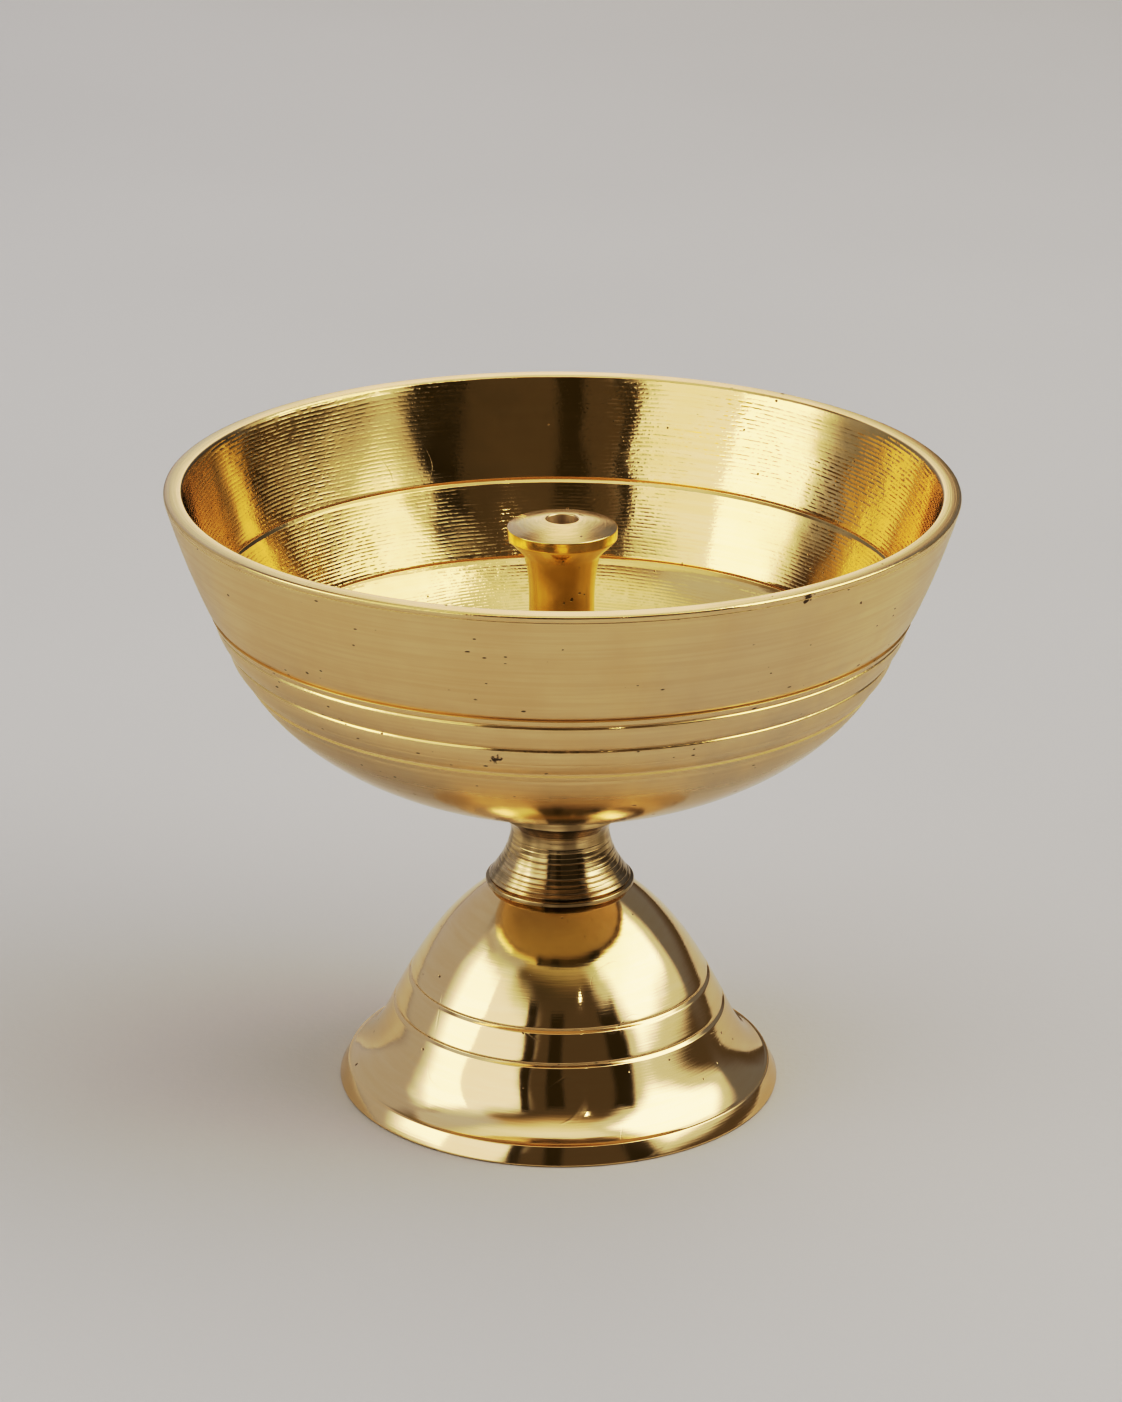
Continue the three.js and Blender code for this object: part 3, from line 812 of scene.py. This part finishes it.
def makeNeck():
    waist, lean = (neck["waist"], neck["waistHeight"]), neck["waistLean"]
    collarFoot = neck["height"] - neck["collarHeight"]
    skirt = sweep((neck["skirt"], neck["skirtFoot"]), neck["skirtLean"], waist, lean, 40)
    throat = sweep(waist, lean, (neck["collar"], collarFoot), neck["collarLean"], 24)
    side = skirt + throat[1:]
    radiusAt = alongSide(side)
    bore, counterbore, lip = studBore, neck["bossBore"], neck["lip"]
    points = []
    last = neck["skirtFoot"]
    for height, depth in zip(neck["ringHeights"], neck["ringDepths"]):
        low, high = height - neck["ringWidth"] / 2, height + neck["ringWidth"] / 2
        points += stretch(radiusAt, last, low, 4)
        points += groove(radiusAt, height, neck["ringWidth"], depth, fineSoft, fineSoft)
        last = high
    points += [(r, h) for r, h in side if h > last + grooveMargin]
    outline = [
        (bore, 0), (lip, 0, neck["lipSoft"]), (lip, neck["lipHeight"], neck["lipSoft"]),
        (neck["skirt"] - neck["quirkDepth"], neck["lipHeight"] + neck["quirkHeight"]),
        (neck["skirt"], neck["skirtFoot"], 0.08),
        *points,
        (neck["collar"], neck["height"], 0.1), (counterbore, neck["height"]),
        (counterbore, neck["bossFloor"]), (bore, neck["bossFloor"]),
    ]
    bm = turnOutline(lifted(outline, neckLow.z), neck["steps"], ring=True)
    addPiece(bm, "neck_turned", "neck", "lamp", [darkBrass])


makeNeck()
print("neck made")

# Foot

foot = {
    "height": footHigh.z, "radius": footHigh.x, "edge": 2.4, "edgeTaper": 1.2, "edgeSoft": 0.35,
    "edgeWall": 1, "rest": 2.3, "flare": 27.3, "flareLean": 56, "waist": (21.1, 11.57),
    "waistLean": 27.3, "crown": 8.9, "crownLean": 55, "crownWall": 2.4, "crownCorner": 0.5,
    "lines": (10.7, 14.55), "lineWidth": 0.6, "lineDepth": 0.25, "lineSoft": 0.08,
    "shell": 1.6, "shellMargin": 0.3, "underTilt": 0.2, "bandSlack": 0.02, "steps": 208,
}


def makeFoot():
    edge, waist, waistLean = foot["edge"], foot["waist"], foot["waistLean"]
    flareSide = sweep((foot["flare"], edge), foot["flareLean"], waist, waistLean, 40)
    domeSide = sweep(waist, waistLean, (foot["crown"], foot["height"]), foot["crownLean"], 60)
    side = flareSide + domeSide[1:]
    radiusAt = alongSide(side)
    clear = foot["lineWidth"] / 2 + grooveMargin
    bell = [p for p in side if all(abs(p[1] - line) > clear for line in foot["lines"])]
    width, depth, soft = foot["lineWidth"], foot["lineDepth"], foot["lineSoft"]
    for line in foot["lines"]:
        at = next(i for i, p in enumerate(bell) if p[1] > line)
        bell[at:at] = groove(radiusAt, line, width, depth, soft, soft)
    under = foot["height"] - foot["crownWall"]
    shell = foot["shell"]
    hollow = [(r - shell, h - shell) for r, h in side[::3] if h - shell < under - foot["shellMargin"]]
    outline = [
        (foot["radius"] - foot["rest"], 0, 0.2), (foot["radius"], 0, foot["edgeSoft"]),
        (foot["radius"] - foot["edgeTaper"], edge, 0.12),
        *bell,
        (studBore, foot["height"]), (studBore, under),
        (foot["crown"], under, foot["crownCorner"]),
        *hollow[::-1],
    ]
    bm = turnOutline(outline, foot["steps"], ring=True)

    def finishAt(radius, height, facing):
        withinBand = height < edge and radius < foot["radius"] - foot["edgeWall"]
        if facing.z < -foot["underTilt"] or (withinBand and facing.z < foot["underTilt"]):
            return castBrass
        return bandBrass if height < edge + foot["bandSlack"] else polishedBrass

    finishes = [polishedBrass, bandBrass, castBrass]
    addPiece(bm, "foot_turned", "foot", "lamp", finishes, finishAt)


makeFoot()
print("foot made")

# Stud, washer and nut

stud = {"pitch": 0.8, "depth": 0.45, "chamfer": 0.5, "rootSoft": 0.08, "crestSoft": 0.06, "steps": 48}
washer = {"soft": 0.15, "steps": 64}
nut = {"chamfer": 0.55, "steps": 96}


def makeStud():
    low, high, chamfer = studLow.z, studHigh.z, stud["chamfer"]
    turns = round((high - low - 2 * chamfer) / stud["pitch"])
    outline = [(0, low), (studRadius - chamfer, low), (studRadius, low + chamfer)]
    for i in range(turns):
        root = low + chamfer + (i + 0.5) * stud["pitch"]
        outline.append((studRadius - stud["depth"], root, stud["rootSoft"]))
        outline.append((studRadius, root + stud["pitch"] / 2, stud["crestSoft"]))
    outline += [(studRadius - chamfer, high), (0, high)]
    bm = turnOutline(outline, stud["steps"])
    addPiece(bm, "stud_threaded", "tie_stud", "lamp", [plainSteel])


def makeWasher():
    radius, low, high = washerHigh.x, washerLow.z, washerHigh.z
    corners = [(studBore, low), (radius, low), (radius, high), (studBore, high)]
    outline = [(*corner, washer["soft"]) for corner in corners]
    bm = turnOutline(outline, washer["steps"], ring=True)
    addPiece(bm, "washer_pressed", "washer", "lamp", [plainSteel])


def makeNut():
    # a chamfered round blank with six flats cut on it
    corner, low, high = nutHigh.x, nutLow.z, nutHigh.z
    flat = corner * math.cos(math.pi / 6)
    chamfer = nut["chamfer"]
    outline = [
        (studBore, low), (flat, low), (corner, low + chamfer),
        (corner, high - chamfer), (flat, high), (studBore, high),
    ]
    bm = turnOutline(outline, nut["steps"], ring=True)
    for vert in bm.verts:
        angle = math.atan2(vert.co.y, vert.co.x) % (math.pi / 3)
        limit = flat * mm / math.cos(angle - math.pi / 6)
        if vert.co.xy.length > limit:
            vert.co.xy = vert.co.xy.normalized() * limit
    addPiece(bm, "nut_hex", "nut", "lamp", [plainSteel])


makeStud()
makeWasher()
makeNut()
print("fasteners made")

# Studio

studio = {
    "floorSize": 8, "floorColour": (0.62, 0.61, 0.595, 1), "floorDark": 0.96, "floorRough": 0.75,
    "floorCloud": 5.0, "floorGrain": 900.0, "floorGrainDepth": 0.05,  # per metre, and mm
    "dim": 0.16, "ceiling": 1.35, "seen": 0.6, "ceilingBehind": 0.45, "behindSpan": 0.6,
    "wallTop": 0.68, "ceilingEdge": 0.93,  # sines of the elevations where the glow starts and is full
    "lowColour": (1.0, 0.79, 0.47, 1), "highColour": (1.0, 0.97, 0.94, 1),
    "cardColour": (0.08, 0.057, 0.018, 1), "cardEdge": 0.48, "cardWaver": 0.4, "waverScale": 4.0,
}
plainLight, coolLight, warmLight = (1, 0.98, 0.95), (0.92, 0.94, 1.12), (1, 0.88, 0.74)
# Azimuth 0 is the camera's side and negative is its left. Wide, tall and soft are angles
# as the lamp sees them. All angles are in degrees and distances in metres.
softboxes = [
    {"name": "leftBox", "azimuth": -61, "elevation": 25, "distance": 1.0,
     "wide": 66, "tall": 38, "soft": 14, "glow": 1.5, "tint": plainLight},
    {"name": "leftCore", "azimuth": -74, "elevation": 25, "distance": 0.98,
     "wide": 30, "tall": 28, "soft": 8, "glow": 2.8, "tint": plainLight},
    {"name": "leftHigh", "azimuth": -78, "elevation": 51, "distance": 1.1,
     "wide": 44, "tall": 18, "soft": 8, "glow": 0.7, "tint": coolLight},
    {"name": "rightBox", "azimuth": 84, "elevation": 42, "distance": 1.0,
     "wide": 66, "tall": 58, "soft": 9, "glow": 0.9, "tint": plainLight},
    {"name": "rightCore", "azimuth": 84, "elevation": 44, "distance": 0.98,
     "wide": 48, "tall": 42, "soft": 9, "glow": 3.0, "tint": plainLight},
    {"name": "rightTop", "azimuth": 126, "elevation": 57, "distance": 1.0,
     "wide": 36, "tall": 24, "soft": 8, "glow": 1.8, "tint": plainLight},
    {"name": "rightWall", "azimuth": 138, "elevation": 25, "distance": 1.2,
     "wide": 54, "tall": 36, "soft": 12, "glow": 0.28, "tint": coolLight},
    {"name": "leftWall", "azimuth": -132, "elevation": 22, "distance": 1.2,
     "wide": 82, "tall": 48, "soft": 12, "glow": 0.55, "tint": coolLight},
    {"name": "backBox", "azimuth": 180, "elevation": 32, "distance": 1.1,
     "wide": 15, "tall": 50, "soft": 8, "glow": 1.5, "tint": warmLight},
    {"name": "keyBulb", "azimuth": 20, "elevation": 43, "distance": 0.9,
     "wide": 1.4, "tall": 1.8, "soft": 0.3, "glow": 14, "tint": plainLight},
]
# brown cards beside the camera, seen only in the polish
flags = [
    {"name": "flagLeft", "azimuth": -22.5, "elevation": 20, "distance": 0.9,
     "wide": 6, "tall": 42, "soft": 2},
    {"name": "flagMiddle", "azimuth": -2.5, "elevation": 18, "distance": 0.9,
     "wide": 10, "tall": 42, "soft": 3},
    {"name": "flagRight", "azimuth": 43, "elevation": 18, "distance": 0.9,
     "wide": 14, "tall": 38, "soft": 4},
]


def studioPlace(item):
    azimuth, elevation = math.radians(item["azimuth"]), math.radians(item["elevation"])
    reach, rise = math.cos(elevation) * item["distance"], math.sin(elevation) * item["distance"]
    return Vector((math.sin(azimuth) * reach, -math.cos(azimuth) * reach, rise))


def studioSize(item):
    # widened so that the soft edge is about half bright at the named size
    spans = [item[side] + item["soft"] for side in ("wide", "tall")]
    return [2 * item["distance"] * math.tan(math.radians(span) / 2) for span in spans]


def makeFloor():
    bm = bmesh.new()
    bmesh.ops.create_grid(bm, x_segments=1, y_segments=1, size=studio["floorSize"] / 2)
    material, tree, shader = newMaterial("paleFloor")
    place = tree.nodes.new("ShaderNodeTexCoord").outputs["Object"]
    grain = noise(tree, place, studio["floorGrain"], detail=3.0, roughness=0.6)
    cloud = noise(tree, place, studio["floorCloud"], detail=2.0, roughness=0.5)
    shade = remap(tree, cloud, low=0.3, high=0.7)
    darker = [c * studio["floorDark"] for c in studio["floorColour"][:3]] + [1]
    connect(tree, blendColours(tree, shade, studio["floorColour"], darker), shader.inputs["Base Color"])
    shader.inputs["Roughness"].default_value = studio["floorRough"]
    connect(tree, addBump(tree, grain, studio["floorGrainDepth"]), shader.inputs["Normal"])
    floor = makeObject(bm, "studioFloor", [material])


def makeCard(item, finish):
    # a flat card that faces the lamp
    place = studioPlace(item)
    width, height = studioSize(item)
    bm = bmesh.new()
    bm.loops.layers.uv.new("across")
    bmesh.ops.create_grid(bm, x_segments=1, y_segments=1, size=0.5, calc_uvs=True)
    bmesh.ops.scale(bm, vec=(width, height, 1), verts=bm.verts[:])
    turn = (-place).to_track_quat("Z", "Y").to_matrix().to_4x4()
    bmesh.ops.transform(bm, matrix=Matrix.Translation(place) @ turn, verts=bm.verts[:])
    card = makeObject(bm, item["name"], [finish])
    card.visible_camera = False
    return card


def makeSoftEdge():
    # 1 in the middle of a card and 0 at its edges; Softness is a share of its width and height
    inputs = [("Spot", direction, (0, 0, 0)), ("Softness", direction, (0.2, 0.2, 0)),
              ("Waver", number, 0.05)]
    tree, given, wanted = newGroup("softEdge", inputs, "Glow")
    moved = randomPush(tree, given["Spot"], studio["waverScale"], given["Waver"])
    centred = vectorCalc(tree, "ABSOLUTE", vectorCalc(tree, "SUBTRACT", moved, (0.5, 0.5, 0.5)))
    sides = []
    for vector in (centred, given["Softness"]):
        parts = tree.nodes.new("ShaderNodeSeparateXYZ")
        connect(tree, vector, parts.inputs[0])
        sides.append(parts.outputs)
    glow = None
    for apart, soft in list(zip(*sides))[:2]:
        start = calc(tree, "SUBTRACT", studio["cardEdge"], soft)
        share = remap(tree, apart, start, studio["cardEdge"], toLow=1.0, toHigh=0.0)
        glow = calc(tree, "MULTIPLY", glow, share) if glow else share
    connect(tree, glow, wanted)
    return tree


def cardMaterial(item, colour, softEdge):
    # the card clears towards its edges and from behind
    material, tree, shader = newMaterial(item["name"])
    shader.inputs["Base Color"].default_value = colour
    spot = tree.nodes.new("ShaderNodeTexCoord").outputs["UV"]
    soft = [item["soft"] / (item[side] + item["soft"]) for side in ("wide", "tall")]
    waver = soft[1] * studio["cardWaver"]
    glow = placeGroup(tree, softEdge, Spot=spot, Softness=(*soft, 0), Waver=waver)
    behind = tree.nodes.new("ShaderNodeNewGeometry").outputs["Backfacing"]
    clear = calc(tree, "MULTIPLY", glow, calc(tree, "SUBTRACT", 1.0, behind))
    connect(tree, clear, shader.inputs["Alpha"])
    shader.inputs["Specular IOR Level"].default_value = 0
    return material, shader


def placeSoftbox(box, softEdge):
    material, shader = cardMaterial(box, (0, 0, 0, 1), softEdge)
    shader.inputs["Emission Color"].default_value = (*box["tint"], 1)
    shader.inputs["Emission Strength"].default_value = box["glow"]
    makeCard(box, material)


def placeFlag(item, softEdge):
    material, _ = cardMaterial(item, studio["cardColour"], softEdge)
    flag = makeCard(item, material)
    flag.visible_shadow = flag.visible_diffuse = False


def makeSurroundings():
    world = bpy.data.worlds.new("studioWorld")
    world.use_nodes = True
    tree = world.node_tree
    back = tree.nodes["Background"]
    facing = tree.nodes.new("ShaderNodeTexCoord").outputs["Generated"]
    rise = vectorCalc(tree, "DOT_PRODUCT", facing, (0, 0, 1))
    share = remap(tree, rise, studio["wallTop"], studio["ceilingEdge"])
    behind = vectorCalc(tree, "DOT_PRODUCT", facing, (0, 1, 0))
    span = studio["behindSpan"]
    fall = remap(tree, behind, -span, span, toLow=1.0, toHigh=studio["ceilingBehind"])
    level = calc(tree, "MULTIPLY", share, fall)
    glow = calc(tree, "MULTIPLY_ADD", level, studio["ceiling"] - studio["dim"], studio["dim"])
    seen = tree.nodes.new("ShaderNodeLightPath").outputs["Is Camera Ray"]
    pale = calc(tree, "MAXIMUM", share, seen)
    tint = blendColours(tree, pale, studio["lowColour"], studio["highColour"])
    connect(tree, tint, back.inputs["Color"])
    rest = calc(tree, "MULTIPLY", glow, calc(tree, "SUBTRACT", 1.0, seen))
    strength = calc(tree, "MULTIPLY_ADD", seen, studio["seen"], rest)
    connect(tree, strength, back.inputs["Strength"])
    bpy.context.scene.world = world


tone = {
    "reach": 4.0,  # the brightest light that the curve tells apart
    "curve": ((0.08, 0.03), (0.2, 0.12), (0.4, 0.34), (0.53, 0.47),
              (1.06, 0.72), (1.41, 0.83), (2.2, 0.95)),  # light and how bright it is shown
}


def setTone():
    # a film-like curve: deep shadows and soft highlights
    view = bpy.context.scene.view_settings
    view.view_transform = "Standard"
    view.use_curve_mapping = True
    mapping = view.curve_mapping
    mapping.white_level = [tone["reach"]] * 3
    combined = mapping.curves[3]
    for light, shown in tone["curve"]:
        combined.points.new(light / tone["reach"], shown)
    mapping.update()


makeFloor()
makeSurroundings()
softEdge = makeSoftEdge()
for box in softboxes:
    placeSoftbox(box, softEdge)
for card in flags:
    placeFlag(card, softEdge)
setTone()
print("studio made")
